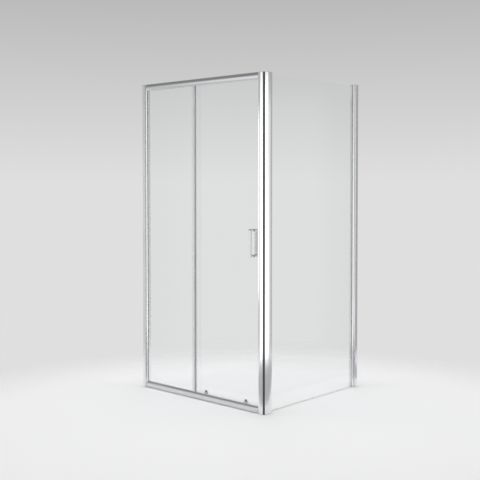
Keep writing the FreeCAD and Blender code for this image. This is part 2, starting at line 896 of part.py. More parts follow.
# Strike seal in the corner upright's slot, which the door's magnet seal closes on
def strike_seal():
    face = door_right + dim.magnet_nose + dim.stop_clearance
    low, high = door_front - dim.gasket_wall, door_back + dim.gasket_wall
    slot_low = door_centre - dim.strike_slot_width / 2
    slot_high = door_centre + dim.strike_slot_width / 2
    foot = corner_start + dim.strike_slot_depth
    outline = [
        (face, low),
        (corner_start, low),
        (corner_start, slot_low),
        (foot, slot_low),
        (foot, slot_high),
        (corner_start, slot_high),
        (corner_start, high),
        (face, high),
    ]
    extrusion("strike_seal", "XY_Plane", [outline], seal_bottom, seal_length)


strike_seal()


# Stops that straddle the top rail's rib and catch the wheels of the open and the closed door
def door_stop(name, start):
    low = rib_centre - dim.stop_width / 2
    high = rib_centre + dim.stop_width / 2
    slot_low = rib_centre - dim.rib_thickness / 2 - dim.plug_gap
    slot_high = rib_centre + dim.rib_thickness / 2 + dim.plug_gap
    places = [
        (low, dim.stop_drop),
        (high, dim.stop_drop),
        (high, dim.shelf_drop),
        (slot_high, dim.shelf_drop),
        (slot_high, dim.rib_drop),
        (slot_low, dim.rib_drop),
        (slot_low, dim.shelf_drop),
        (low, dim.shelf_drop),
    ]
    extrusion(f"door_stop_{name}", "YZ_Plane", [rail_outline("top", places)], start, dim.stop_length)


stop_reach = dim.wheel_radius + dim.stop_clearance
door_stop("open", roller_places["left"] - door_travel - stop_reach - dim.stop_length)
door_stop("closed", roller_places["right"] + stop_reach)


# Side pane, its gaskets and the sealing strip under it
def side_panel():
    corner_groove = dim.corner_profile_end - dim.side_groove_depth
    wall_groove = side_nose_front + dim.groove_depth
    start = corner_groove + dim.gasket_wall
    end = wall_groove - dim.gasket_wall
    top = height - dim.side_pane_drop
    foot = dim.bottom_seal_floor
    pane = rectangle(start, foot, end, top)
    extrusion("side_glass", "YZ_Plane", [pane], side_left, dim.glass_thickness)
    corner_lining = [
        (across, inward)
        for inward, across in gasket_outline(
            corner_groove, dim.corner_profile_end, side_groove_left, side_groove_right
        )
    ]
    extrusion("side_gasket_corner", "XY_Plane", [corner_lining], foot, top - foot)
    wall_lining = [
        (across, wall_groove + side_nose_front - inward)
        for inward, across in gasket_outline(
            side_nose_front, wall_groove, side_groove_left, side_groove_right
        )
    ]
    extrusion("side_gasket_wall", "XY_Plane", [wall_lining], foot, top - foot)
    seal = [
        (side_groove_left, 0),
        (side_groove_right, 0),
        (side_groove_right, dim.bottom_seal_height),
        (side_right, dim.bottom_seal_height),
        (side_right, foot),
        (side_left, foot),
        (side_left, dim.bottom_seal_height),
        (side_groove_left, dim.bottom_seal_height),
    ]
    strip_start = dim.corner_profile_end
    extrusion("side_bottom_seal", "XZ_Plane", [seal], strip_start, side_nose_front - strip_start)


side_panel()


# Door pane with the holes of its rollers, guides and handle
def door_pane():
    foot = dim.door_edge_gap
    pane = rectangle(door_left, foot, door_right, height - foot)
    body = extrusion("door_glass", "XZ_Plane", [pane], door_front, dim.glass_thickness)
    holes = []
    for across in roller_places.values():
        holes.append((across, height - wheel_drop, dim.bush_radius + dim.screw_gap))
        for shift in guide_screw_shifts:
            holes.append((across + shift, guide_screw_height, dim.guide_hole_radius))
    for up in handle_hole_heights:
        holes.append((handle_across, up, dim.handle_hole_radius))
    cut_start = door_front - dim.overrun
    pocketed(body, "XZ_Plane", cut_start, dim.glass_thickness + 2 * dim.overrun, circles=holes)


handle_across = door_right - dim.handle_inset
handle_hole_spacing = dim.handle_height - dim.handle_arm
handle_hole_heights = [
    dim.handle_centre_height - handle_hole_spacing / 2,
    dim.handle_centre_height + handle_hole_spacing / 2,
]
guide_screw_shifts = (-dim.guide_screw_spread / 2, dim.guide_screw_spread / 2)
door_pane()


# Seals on the door's two upright edges
def door_seals():
    low, high = door_front - dim.gasket_wall, door_back + dim.gasket_wall
    grip_end = door_left + dim.rear_seal_grip
    rear_start = door_left - dim.lip_seal_thickness
    rear = [
        (rear_start, fixed_back + dim.lip_seal_gap),
        (door_left, fixed_back + dim.lip_seal_gap),
        (door_left, low),
        (grip_end, low),
        (grip_end, door_front),
        (door_left, door_front),
        (door_left, door_back),
        (grip_end, door_back),
        (grip_end, high),
        (rear_start, high),
    ]
    extrusion("door_rear_seal", "XY_Plane", [rear], seal_bottom, seal_length)
    grip_start = door_right - dim.magnet_seal_grip
    face = door_right + dim.magnet_nose
    magnet = [
        (grip_start, low),
        (face, low),
        (face, high),
        (grip_start, high),
        (grip_start, door_back),
        (door_right, door_back),
        (door_right, door_front),
        (grip_start, door_front),
    ]
    extrusion("door_magnet_seal", "XY_Plane", [magnet], seal_bottom, seal_length)


door_seals()


# Pull handles back to back on the door, with studs and washers
HANDLES = {"outer": -1, "inner": 1}


def make_handle(side):
    way = HANDLES[side]
    bottom = dim.handle_centre_height - dim.handle_height / 2
    top = dim.handle_centre_height + dim.handle_height / 2
    arm = dim.handle_arm
    outside = dim.handle_standoff + dim.handle_bar / 2
    inside = outside - dim.handle_bar
    foot = dim.glass_thickness / 2 + dim.washer_thickness
    corner, inner_corner = dim.handle_corner, dim.handle_inner_corner
    places = [
        (foot, top),
        (outside - corner, top, corner, -1),
        (outside, top - corner),
        (outside, bottom + corner, corner, -1),
        (outside - corner, bottom),
        (foot, bottom),
        (foot, bottom + arm),
        (inside - inner_corner, bottom + arm, inner_corner, 1),
        (inside, bottom + arm + inner_corner),
        (inside, top - arm - inner_corner, inner_corner, 1),
        (inside - inner_corner, top - arm),
        (foot, top - arm),
    ]
    outline = [
        (door_centre + way * place[0], place[1], *((place[2], way * place[3]) if len(place) > 2 else ()))
        for place in places
    ]
    left = handle_across - dim.handle_width / 2
    right = handle_across + dim.handle_width / 2
    body = extrusion(f"handle_{side}", "YZ_Plane", [outline], left, dim.handle_width)
    foot_place = (door_centre + way * foot).number
    side_places = (left.number, right.number)

    def is_long_side_edge(edge):
        """Edges of the two flat sides, without those at the feet."""
        box = edge.BoundBox
        flat = box.XLength < SIZES["screw_gap"]
        on_foot = box.YLength < SIZES["screw_gap"] and abs(box.YMin - foot_place) < SIZES["screw_gap"]
        on_side = min(abs(box.XMin - place) for place in side_places) < SIZES["screw_gap"]
        return flat and on_side and not on_foot

    rounded(body, dim.handle_round, is_long_side_edge)
    hole_radius = dim.handle_stud_radius + dim.screw_gap
    holes = [(handle_across, up, hole_radius) for up in handle_hole_heights]
    bite = dim.handle_stud_bite + dim.seat_gap
    start = door_centre - foot - bite if side == "outer" else door_centre + foot
    pocketed(body, "XZ_Plane", start, bite, circles=holes)


def handle_fixings():
    reach = dim.glass_thickness / 2 + dim.washer_thickness + dim.handle_stud_bite
    stud = rectangle(0, -reach, dim.handle_stud_radius, reach)
    bore = dim.handle_stud_radius + dim.screw_gap
    washer = rectangle(bore, 0, dim.washer_radius, dim.washer_thickness)
    studs, washers = [], []
    for up in handle_hole_heights:
        studs.append(turned("handle_stud", stud, handle_across, door_centre, up, "inward"))
        washers.append(turned("handle_washer", washer, handle_across, door_back, up, "inward"))
        washers.append(turned("handle_washer", washer, handle_across, door_front, up, "outward"))
    group("handle_studs", studs)
    group("handle_washers", washers)


for handle_side in HANDLES:
    make_handle(handle_side)
handle_fixings()


# Grooved wheel that runs on a rail's rib
def wheel(label, across, up):
    root = (dim.wheel_width - dim.rib_thickness) / 2 - dim.seat_gap
    bore = dim.axle_radius + dim.screw_gap
    wide = dim.wheel_width
    outline = [
        (bore, 0),
        (dim.wheel_radius, 0),
        (dim.wheel_radius, dim.wheel_rim),
        (dim.wheel_root_radius, root),
        (dim.wheel_root_radius, wide - root),
        (dim.wheel_radius, wide - dim.wheel_rim),
        (dim.wheel_radius, wide),
        (bore, wide),
    ]
    turned_part(label, outline, across, wheel_front, up, "inward")


# Top rollers: wheel, axle, bush through the glass and cap nut inside
def top_roller(side, across):
    up = height - wheel_drop
    wheel(f"top_wheel_{side}", across, up)
    head_back = wheel_front - dim.seat_gap
    shank = door_back + dim.axle_tail - head_back
    axle = screw_outline(dim.axle_radius, shank, dim.axle_head_radius, dim.axle_head)
    turned_part(f"top_axle_{side}", axle, across, head_back, up, "inward")
    bore = dim.axle_radius + dim.screw_gap
    bush_front = wheel_back + dim.seat_gap
    flange_end = door_front - bush_front
    flange_start = flange_end - dim.bush_flange
    bush_end = door_back - bush_front
    bush = [
        (bore, 0),
        (dim.bush_nose_radius, 0),
        (dim.bush_nose_radius, flange_start),
        (dim.bush_flange_radius, flange_start),
        (dim.bush_flange_radius, flange_end),
        (dim.bush_radius, flange_end),
        (dim.bush_radius, bush_end),
        (bore, bush_end),
    ]
    turned_part(f"top_bush_{side}", bush, across, bush_front, up, "inward")
    blind = dim.axle_tail + dim.seat_gap
    nut = [
        (bore, 0),
        (dim.nut_radius, 0),
        (dim.nut_radius, dim.nut_rim),
        (dim.nut_dome_radius, dim.nut_height),
        (0, dim.nut_height),
        (0, blind),
        (bore, blind),
    ]
    turned_part(f"top_nut_{side}", nut, across, door_back, up, "inward")


# Bottom guides: housing on the glass, sprung release button with the slider that carries the wheel
def bottom_guide(side, across):
    wheel(f"guide_wheel_{side}", across, wheel_drop)
    guide_front = track_front + dim.guide_gap
    half = dim.guide_width / 2
    slot = dim.stem_width / 2 + dim.seat_gap
    slot_front = stem_front - dim.seat_gap
    outline = [
        (across - half, guide_front),
        (across + half, guide_front),
        (across + half, door_front),
        (across + slot, door_front),
        (across + slot, slot_front),
        (across - slot, slot_front),
        (across - slot, door_front),
        (across - half, door_front),
    ]
    housing = extrusion(f"guide_housing_{side}", "XY_Plane", [outline], guide_bottom, dim.guide_height)
    spring_inward = (guide_front + slot_front) / 2
    pocket_bottom = guide_top - dim.spring_pocket_depth
    pocket = (across, spring_inward, dim.spring_radius + dim.spring_pocket_gap)
    pocketed(housing, "XY_Plane", pocket_bottom, dim.spring_pocket_depth + dim.overrun, circles=[pocket])
    screw_radius = dim.guide_screw_radius + dim.screw_gap
    holes = [(across + shift, guide_screw_height, screw_radius) for shift in guide_screw_shifts]
    bite = dim.guide_screw_bite + dim.seat_gap
    pocketed(housing, "XZ_Plane", door_front - bite, bite + dim.overrun, circles=holes)

    half_stem = dim.stem_width / 2
    stem = rectangle(across - half_stem, stem_front, across + half_stem, stem_back)
    stem_foot = wheel_drop - dim.stem_tail
    button = extrusion(f"release_button_{side}", "XY_Plane", [stem], stem_foot, button_top - stem_foot)
    half_button = dim.button_width / 2
    head = rectangle(across - half_button, stem_back - dim.button_depth, across + half_button, stem_back)
    padded(button, "XY_Plane", [head], button_bottom, dim.button_height)
    pin_hole = (across, wheel_drop, dim.axle_radius + dim.screw_gap)
    hole_length = dim.stem_thickness + 2 * dim.overrun
    pocketed(button, "XZ_Plane", stem_front - dim.overrun, hole_length, circles=[pin_hole])

    head_back = wheel_front - dim.seat_gap
    pin = screw_outline(dim.axle_radius, stem_back - head_back, dim.axle_head_radius, dim.axle_head)
    turned_part(f"guide_axle_{side}", pin, across, head_back, wheel_drop, "inward")
    spring_length = button_bottom - dim.seat_gap - pocket_bottom
    spring = rectangle(dim.spring_bore_radius, 0, dim.spring_radius, spring_length)
    turned_part(f"release_spring_{side}", spring, across, spring_inward, pocket_bottom, "up")
    length = dim.glass_thickness + dim.guide_screw_bite
    screw = screw_outline(dim.guide_screw_radius, length, dim.guide_screw_head_radius, dim.guide_screw_head)
    return [
        turned("guide_screw", screw, across + shift, door_back, guide_screw_height, "outward")
        for shift in guide_screw_shifts
    ]


guide_screws = []
for side_name, place in roller_places.items():
    top_roller(side_name, place)
    guide_screws += bottom_guide(side_name, place)
group("guide_screws", guide_screws)


# Check every object, then write each sub-part
doc.recompute()
faults = [item.Name for item in doc.Objects if {"Invalid", "Error"} & set(item.State)]
faults += [item.Label for item in sub_parts if item.Shape.isNull() or not item.Shape.isValid()]
if faults:
    raise SystemExit(f"these objects failed: {', '.join(faults)}")
os.makedirs("parts", exist_ok=True)
for item in sub_parts:
    item.Shape.exportStep(f"parts/{item.Label}.step")
print(len(sub_parts), "sub-parts written")
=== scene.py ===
import math

import bmesh
import bpy
from mathutils import Matrix, Vector


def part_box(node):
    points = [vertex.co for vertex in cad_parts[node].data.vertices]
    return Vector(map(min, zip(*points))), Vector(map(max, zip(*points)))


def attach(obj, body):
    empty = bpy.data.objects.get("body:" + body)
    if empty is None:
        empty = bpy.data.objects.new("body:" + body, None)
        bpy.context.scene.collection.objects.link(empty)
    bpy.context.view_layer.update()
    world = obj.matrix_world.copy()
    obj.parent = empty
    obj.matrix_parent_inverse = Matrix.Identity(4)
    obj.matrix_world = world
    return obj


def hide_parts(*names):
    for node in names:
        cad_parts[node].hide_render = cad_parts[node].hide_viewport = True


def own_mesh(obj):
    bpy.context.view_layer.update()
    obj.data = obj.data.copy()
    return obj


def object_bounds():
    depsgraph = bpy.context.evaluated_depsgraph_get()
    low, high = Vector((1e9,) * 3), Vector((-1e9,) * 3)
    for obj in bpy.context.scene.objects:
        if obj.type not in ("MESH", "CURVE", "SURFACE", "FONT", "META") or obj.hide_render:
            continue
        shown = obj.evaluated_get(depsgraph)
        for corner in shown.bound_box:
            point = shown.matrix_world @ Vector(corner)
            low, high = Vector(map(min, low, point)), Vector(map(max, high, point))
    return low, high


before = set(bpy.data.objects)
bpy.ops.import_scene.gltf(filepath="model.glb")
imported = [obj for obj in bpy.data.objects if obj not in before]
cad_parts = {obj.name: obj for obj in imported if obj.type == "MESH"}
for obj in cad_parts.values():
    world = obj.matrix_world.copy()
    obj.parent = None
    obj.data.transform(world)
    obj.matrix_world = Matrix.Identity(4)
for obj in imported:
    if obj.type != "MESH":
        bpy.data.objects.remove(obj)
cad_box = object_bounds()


# Wall channels and uprights
# Extruded aluminium, bright dipped and anodised. The channels are screwed to the two walls, and each
# upright slides into its channel and is screwed fast once it is plumb.
def linear(colour):
    """Linear colour, with its alpha, of an sRGB hex value."""
    parts = [int(colour[at:at + 2], 16) / 255 for at in (1, 3, 5)]
    return (*(c / 12.92 if c <= 0.04045 else ((c + 0.055) / 1.055) ** 2.4 for c in parts), 1.0)


def add_node(tree, kind, settings=None, inputs=None):
    """Adds a node with its settings; an input that is a socket is linked, and any other is set."""
    made = tree.nodes.new(kind)
    for name, value in (settings or {}).items():
        setattr(made, name, value)
    for name, value in (inputs or {}).items():
        if isinstance(value, bpy.types.NodeSocket):
            tree.links.new(value, made.inputs[name])
        else:
            made.inputs[name].default_value = value
    return made


def new_material(name):
    """Material with no nodes yet."""
    material = bpy.data.materials.new(name)
    material.use_nodes = True
    material.node_tree.nodes.clear()
    return material


def dress(material, *names):
    """Gives CAD nodes a material in their own slots."""
    for name in names:
        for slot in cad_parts[name].material_slots:
            slot.material = material


# Bright anodised aluminium mirrors softly along the die's fine lines. The lines are really about 0.2 mm
# wide and are drawn about 2 mm wide, because finer ones don't show.
def bright_aluminium(name, along, darker, lighter):
    line_width, line_length, line_depth, haze_width = 0.002, 0.8, 0.0005, 0.15
    both_low, both_high = 0.7, 1.3  # Most sums of the two noises lie between these.
    smoothest, roughest = 0.10, 0.18
    material = new_material(name)
    tree = material.node_tree
    place = add_node(tree, "ShaderNodeTexCoord").outputs["Object"]
    stretch = [1 / line_length if axis == along else 1 / line_width for axis in "XYZ"]
    lines = add_node(tree, "ShaderNodeMapping", inputs={"Vector": place, "Scale": stretch})
    drawn = add_node(tree, "ShaderNodeTexNoise", inputs={
        "Vector": lines.outputs[0], "Scale": 1.0, "Detail": 3.0})
    haze = add_node(tree, "ShaderNodeTexNoise", inputs={
        "Vector": place, "Scale": 1 / haze_width, "Detail": 2.0})
    both = add_node(tree, "ShaderNodeMath", {"operation": "ADD"}, {
        0: drawn.outputs["Fac"], 1: haze.outputs["Fac"]})
    rough = add_node(tree, "ShaderNodeMapRange", inputs={
        "Value": both.outputs[0], "From Min": both_low, "From Max": both_high,
        "To Min": smoothest, "To Max": roughest})
    colour = add_node(tree, "ShaderNodeMix", {"data_type": "RGBA"}, {
        "Factor": drawn.outputs["Fac"], "A": linear(darker), "B": linear(lighter)})
    bump = add_node(tree, "ShaderNodeBump", inputs={
        "Height": drawn.outputs["Fac"], "Strength": 0.02, "Distance": line_depth})
    shine = add_node(tree, "ShaderNodeBsdfPrincipled", inputs={
        "Base Color": colour.outputs["Result"], "Metallic": 1.0, "Roughness": rough.outputs[0],
        "Normal": bump.outputs[0]})
    add_node(tree, "ShaderNodeOutputMaterial", inputs={"Surface": shine.outputs[0]})
    return material


upright_finish = bright_aluminium(
    "bright_anodised_aluminium_upright", along="Z", darker="#eaebec", lighter="#f7f7f8")
dress(upright_finish, "wall_channel_left", "upright_left", "wall_channel_side", "upright_side")

# Corner upright and corner profile
# Two more lengths of the same bright aluminium. The upright takes the rails' ends and the closing door, and
# the profile, screwed to it, holds the side pane.
dress(upright_finish, "upright_right", "corner_profile")

# Corner strip
# A strip of black rubber pressed into the joint between corner upright and corner profile, over the whole
# height. Extruded rubber is dull, with a fine skin that dust greys in places. The skin's lines are drawn
# 1.5 mm wide, because finer ones don't show.
noise_low, noise_high = 0.3, 0.7  # Most values of a noise lie between these.


def extruded_rubber(name, along):
    skin_width, skin_length, skin_depth, dust_width = 0.0015, 0.4, 0.0003, 0.12
    smoothest, roughest = 0.5, 0.7
    material = new_material(name)
    tree = material.node_tree
    place = add_node(tree, "ShaderNodeTexCoord").outputs["Object"]
    stretch = [1 / skin_length if axis == along else 1 / skin_width for axis in "XYZ"]
    skin = add_node(tree, "ShaderNodeMapping", inputs={"Vector": place, "Scale": stretch})
    rubbed = add_node(tree, "ShaderNodeTexNoise", inputs={
        "Vector": skin.outputs[0], "Scale": 1.0, "Detail": 2.0})
    dust = add_node(tree, "ShaderNodeTexNoise", inputs={
        "Vector": place, "Scale": 1 / dust_width, "Detail": 2.0})
    colour = add_node(tree, "ShaderNodeMix", {"data_type": "RGBA"}, {
        "Factor": dust.outputs["Fac"], "A": linear("#3c3d3e"), "B": linear("#505153")})
    rough = add_node(tree, "ShaderNodeMapRange", inputs={
        "Value": rubbed.outputs["Fac"], "From Min": noise_low, "From Max": noise_high,
        "To Min": smoothest, "To Max": roughest})
    bump = add_node(tree, "ShaderNodeBump", inputs={
        "Height": rubbed.outputs["Fac"], "Strength": 0.2, "Distance": skin_depth})
    matt = add_node(tree, "ShaderNodeBsdfPrincipled", inputs={
        "Base Color": colour.outputs["Result"], "Roughness": rough.outputs[0], "IOR": 1.52,
        "Normal": bump.outputs[0]})
    add_node(tree, "ShaderNodeOutputMaterial", inputs={"Surface": matt.outputs[0]})
    return material


dress(extruded_rubber("extruded_black_rubber_strip", along="Z"), "corner_strip")

# Rails
# The same aluminium section at the floor and, turned over, at the top. It is cut square and screwed
# between the two uprights, so its die lines run across the front.
# The rails are drawn darker than the uprights, though the metal is the same: this is painted shade.
shaded_rail_finish = bright_aluminium(
    "bright_anodised_aluminium_rail_painted_shade", along="X", darker="#d6d7d9", lighter="#e4e5e6")
dress(shaded_rail_finish, "top_rail", "bottom_rail")

# Rail plugs
# Blocks of acetal moulded to fill the rails' ends, which the rails' long screws bite into.
# Moulded acetal is white and waxy, with a soft sheen and faint clouds of flow.
flow_width, grain_width, grain_depth = 0.012, 0.0008, 0.0002
smoothest, roughest = 0.28, 0.4
white_acetal = new_material("moulded_white_acetal")
tree = white_acetal.node_tree
place = add_node(tree, "ShaderNodeTexCoord").outputs["Object"]
clouds = add_node(tree, "ShaderNodeTexNoise", inputs={
    "Vector": place, "Scale": 1 / flow_width, "Detail": 3.0, "Distortion": 0.6})
# The tool's grain is about 0.1 mm wide and is drawn at 0.8 mm, because finer grain doesn't show.
pits = add_node(tree, "ShaderNodeTexNoise", inputs={
    "Vector": place, "Scale": 1 / grain_width, "Detail": 1.0})
colour = add_node(tree, "ShaderNodeMix", {"data_type": "RGBA"}, {
    "Factor": clouds.outputs["Fac"], "A": linear("#dedcd6"), "B": linear("#f0efea")})
rough = add_node(tree, "ShaderNodeMapRange", inputs={
    "Value": clouds.outputs["Fac"], "From Min": noise_low, "From Max": noise_high,
    "To Min": smoothest, "To Max": roughest})
bump = add_node(tree, "ShaderNodeBump", inputs={
    "Height": pits.outputs["Fac"], "Strength": 0.1, "Distance": grain_depth})
waxy = add_node(tree, "ShaderNodeBsdfPrincipled", inputs={
    "Base Color": colour.outputs["Result"], "Roughness": rough.outputs[0], "IOR": 1.48,
    "Normal": bump.outputs[0]})
add_node(tree, "ShaderNodeOutputMaterial", inputs={"Surface": waxy.outputs[0]})
dress(white_acetal, "rail_plug_bottom_left", "rail_plug_bottom_right", "rail_plug_top_left",
      "rail_plug_top_right")

# Rail screws and fixing screws
# Stainless self-cutting screws. Four long ones hold the rails between the uprights, and short ones fix the
# uprights in their channels. Cold-formed stainless is bright, with fine rolling marks and a warm grey cast.
mark_width, mark_depth, tarnish_width = 0.0012, 0.0002, 0.01
smoothest, roughest = 0.2, 0.36
stainless = new_material("cold_formed_stainless_steel")
tree = stainless.node_tree
place = add_node(tree, "ShaderNodeTexCoord").outputs["Object"]
# The marks are about 0.1 mm wide and are drawn at 1.2 mm, because finer ones don't show.
rolled = add_node(tree, "ShaderNodeTexNoise", inputs={
    "Vector": place, "Scale": 1 / mark_width, "Detail": 3.0})
tarnish = add_node(tree, "ShaderNodeTexNoise", inputs={
    "Vector": place, "Scale": 1 / tarnish_width, "Detail": 2.0})
colour = add_node(tree, "ShaderNodeMix", {"data_type": "RGBA"}, {
    "Factor": tarnish.outputs["Fac"], "A": linear("#b3b1ad"), "B": linear("#d2d1ce")})
rough = add_node(tree, "ShaderNodeMapRange", inputs={
    "Value": rolled.outputs["Fac"], "From Min": noise_low, "From Max": noise_high,
    "To Min": smoothest, "To Max": roughest})
bump = add_node(tree, "ShaderNodeBump", inputs={
    "Height": rolled.outputs["Fac"], "Strength": 0.08, "Distance": mark_depth})
steel = add_node(tree, "ShaderNodeBsdfPrincipled", inputs={
    "Base Color": colour.outputs["Result"], "Metallic": 1.0, "Roughness": rough.outputs[0],
    "Normal": bump.outputs[0]})
add_node(tree, "ShaderNodeOutputMaterial", inputs={"Surface": steel.outputs[0]})
dress(stainless, "rail_screws", "fixing_screws")


# Covers and end caps
# Small mouldings of grey ABS. The covers snap over the heads of the fixing screws, and the caps close the
# tops of the profiles. ABS from an eroded tool is satin, with a fine grain.
def moulded_abs(name, darker, lighter, smoothest, roughest):
    grain_width, grain_depth, pit_rim, cloud_width = 0.0009, 0.0002, 0.8, 0.03
    material = new_material(name)
    tree = material.node_tree
    place = add_node(tree, "ShaderNodeTexCoord").outputs["Object"]
    # The eroded grain is about 0.1 mm wide and is drawn at 0.9 mm, because finer grain doesn't show.
    pits = add_node(tree, "ShaderNodeTexVoronoi", inputs={"Vector": place, "Scale": 1 / grain_width})
    clouds = add_node(tree, "ShaderNodeTexNoise", inputs={
        "Vector": place, "Scale": 1 / cloud_width, "Detail": 3.0})
    colour = add_node(tree, "ShaderNodeMix", {"data_type": "RGBA"}, {
        "Factor": clouds.outputs["Fac"], "A": linear(darker), "B": linear(lighter)})
    rough = add_node(tree, "ShaderNodeMapRange", inputs={
        "Value": pits.outputs["Distance"], "From Min": 0.0, "From Max": pit_rim,
        "To Min": smoothest, "To Max": roughest})
    bump = add_node(tree, "ShaderNodeBump", inputs={
        "Height": pits.outputs["Distance"], "Strength": 0.12, "Distance": grain_depth})
    satin = add_node(tree, "ShaderNodeBsdfPrincipled", inputs={
        "Base Color": colour.outputs["Result"], "Roughness": rough.outputs[0], "IOR": 1.53,
        "Normal": bump.outputs[0]})
    add_node(tree, "ShaderNodeOutputMaterial", inputs={"Surface": satin.outputs[0]})
    return material


grey_abs = moulded_abs(
    "moulded_grey_abs", darker="#b6b8ba", lighter="#c8cacb", smoothest=0.3, roughest=0.45)
dress(grey_abs, "fixing_covers", "cap_wall_left", "cap_wall_side", "cap_corner")


# Glass panes
# Toughened float glass, 6 mm, with ground and polished edges: a fixed pane and the sliding door in front,
# and the side pane. It is clear through its faces and greenish along its edges, with a faint water film.
def toughened_glass(name, faces_along):
    on_edge, on_face, edge_scatter = 0.3, 0.8, 0.6
    film_width, film_start, film_full, film_haze = 0.09, 0.5, 0.8, 0.012
    material = new_material(name)
    tree = material.node_tree
    spot = add_node(tree, "ShaderNodeTexCoord")
    sides = add_node(tree, "ShaderNodeSeparateXYZ", inputs={0: spot.outputs["Normal"]})
    facing = add_node(tree, "ShaderNodeMath", {"operation": "ABSOLUTE"}, {0: sides.outputs[faces_along]})
    edge = add_node(tree, "ShaderNodeMapRange", inputs={
        "Value": facing.outputs[0], "From Min": on_edge, "From Max": on_face, "To Min": 1.0, "To Max": 0.0})
    tint = add_node(tree, "ShaderNodeMix", {"data_type": "RGBA"}, {
        "Factor": edge.outputs[0], "A": linear("#fdfefe"), "B": linear("#b4ccc2")})
    film = add_node(tree, "ShaderNodeTexNoise", inputs={
        "Vector": spot.outputs["Object"], "Scale": 1 / film_width, "Detail": 4.0})
    haze = add_node(tree, "ShaderNodeMapRange", inputs={
        "Value": film.outputs["Fac"], "From Min": film_start, "From Max": film_full,
        "To Min": 0.0, "To Max": film_haze})
    pane = add_node(tree, "ShaderNodeBsdfPrincipled", inputs={
        "Base Color": tint.outputs["Result"], "Roughness": haze.outputs[0], "IOR": 1.52,
        "Transmission Weight": 1.0})
    # The ground edge scatters part of the light that runs along inside the pane.
    scatter = add_node(tree, "ShaderNodeBsdfPrincipled", inputs={
        "Base Color": linear("#b9d0c7"), "Roughness": 0.2, "IOR": 1.52})
    ground = add_node(tree, "ShaderNodeMath", {"operation": "MULTIPLY"}, {
        0: edge.outputs[0], 1: edge_scatter})
    whole = add_node(tree, "ShaderNodeMixShader", inputs={
        0: ground.outputs[0], 1: pane.outputs[0], 2: scatter.outputs[0]})
    # Lamps shine straight through the pane, so that it casts only a faint shadow.
    shine_through = add_node(tree, "ShaderNodeBsdfTransparent", inputs={"Color": tint.outputs["Result"]})
    shadow = add_node(tree, "ShaderNodeLightPath").outputs["Is Shadow Ray"]
    either = add_node(tree, "ShaderNodeMixShader", inputs={
        0: shadow, 1: whole.outputs[0], 2: shine_through.outputs[0]})
    add_node(tree, "ShaderNodeOutputMaterial", inputs={"Surface": either.outputs[0]})
    return material


dress(toughened_glass("toughened_float_glass_front", faces_along="Y"), "fixed_glass", "door_glass")
dress(toughened_glass("toughened_float_glass_side", faces_along="X"), "side_glass")

# Gaskets and seals
# Soft clear PVC, extruded and cut to length. The gaskets are pushed in beside the panes, the door's seals
# clip over its edges, and the closing seals hold a magnet. It looks milky, with slow streaks along it.
streak_width, streak_length = 0.004, 0.25
pvc_smoothest, pvc_roughest = 0.12, 0.25


def clear_pvc(name, along, darker, lighter, body):
    material = new_material(name)
    tree = material.node_tree
    place = add_node(tree, "ShaderNodeTexCoord").outputs["Object"]
    stretch = [1 / streak_length if axis == along else 1 / streak_width for axis in "XYZ"]
    streaks = add_node(tree, "ShaderNodeMapping", inputs={"Vector": place, "Scale": stretch})
    drawn = add_node(tree, "ShaderNodeTexNoise", inputs={
        "Vector": streaks.outputs[0], "Scale": 1.0, "Detail": 3.0})
    colour = add_node(tree, "ShaderNodeMix", {"data_type": "RGBA"}, {
        "Factor": drawn.outputs["Fac"], "A": linear(darker), "B": linear(lighter)})
    rough = add_node(tree, "ShaderNodeMapRange", inputs={
        "Value": drawn.outputs["Fac"], "From Min": noise_low, "From Max": noise_high,
        "To Min": pvc_smoothest, "To Max": pvc_roughest})
    soft = add_node(tree, "ShaderNodeBsdfPrincipled", inputs={
        "Base Color": colour.outputs["Result"], "Roughness": rough.outputs[0], "IOR": 1.53, "Alpha": body})
    add_node(tree, "ShaderNodeOutputMaterial", inputs={"Surface": soft.outputs[0]})
    return material


upright_gasket = clear_pvc(
    "extruded_clear_pvc_gasket", along="Z", darker="#d6d9da", lighter="#e6e8e8", body=0.7)
dress(upright_gasket, "fixed_gasket_wall", "side_gasket_corner", "side_gasket_wall")
rail_gasket = clear_pvc(
    "extruded_clear_pvc_gasket_rail", along="X", darker="#d6d9da", lighter="#e6e8e8", body=0.7)
dress(rail_gasket, "fixed_gasket_top", "fixed_gasket_bottom")
door_seal = clear_pvc(
    "extruded_clear_pvc_door_seal", along="Z", darker="#dde0e0", lighter="#eceeee", body=0.14)
dress(door_seal, "door_rear_seal", "door_magnet_seal", "strike_seal")
# The floor seal is drawn whiter than the other clear PVC: painted light, which lightens the shade along the
# foot of the side pane.
whitened_floor_seal = clear_pvc(
    "extruded_clear_pvc_floor_seal_painted_light", along="Y", darker="#f0f2f2", lighter="#f9fafa", body=0.09)
dress(whitened_floor_seal, "side_bottom_seal")

# Edge strip
# The profile on the fixed pane's free edge, of two kinds of PVC extruded together: a hard grey spine along
# the edge of the glass, and soft clear legs and a lip that wipes the door.
spine_start, spine_back, blur = -0.0505, -0.4322, 0.0004
clear_body, hard_body = 0.07, 0.95
strip = new_material("coextruded_pvc_edge_strip")
tree = strip.node_tree
place = add_node(tree, "ShaderNodeTexCoord").outputs["Object"]
across = add_node(tree, "ShaderNodeSeparateXYZ", inputs={0: place})
beside = add_node(tree, "ShaderNodeMapRange", inputs={
    "Value": across.outputs["X"], "From Min": spine_start - blur, "From Max": spine_start + blur})
before = add_node(tree, "ShaderNodeMapRange", inputs={
    "Value": across.outputs["Y"], "From Min": spine_back - blur, "From Max": spine_back + blur,
    "To Min": 1.0, "To Max": 0.0})
spine = add_node(tree, "ShaderNodeMath", {"operation": "MULTIPLY"}, {
    0: beside.outputs[0], 1: before.outputs[0]})
streaks = add_node(tree, "ShaderNodeMapping", inputs={
    "Vector": place, "Scale": (1 / streak_width, 1 / streak_width, 1 / streak_length)})
drawn = add_node(tree, "ShaderNodeTexNoise", inputs={
    "Vector": streaks.outputs[0], "Scale": 1.0, "Detail": 3.0})
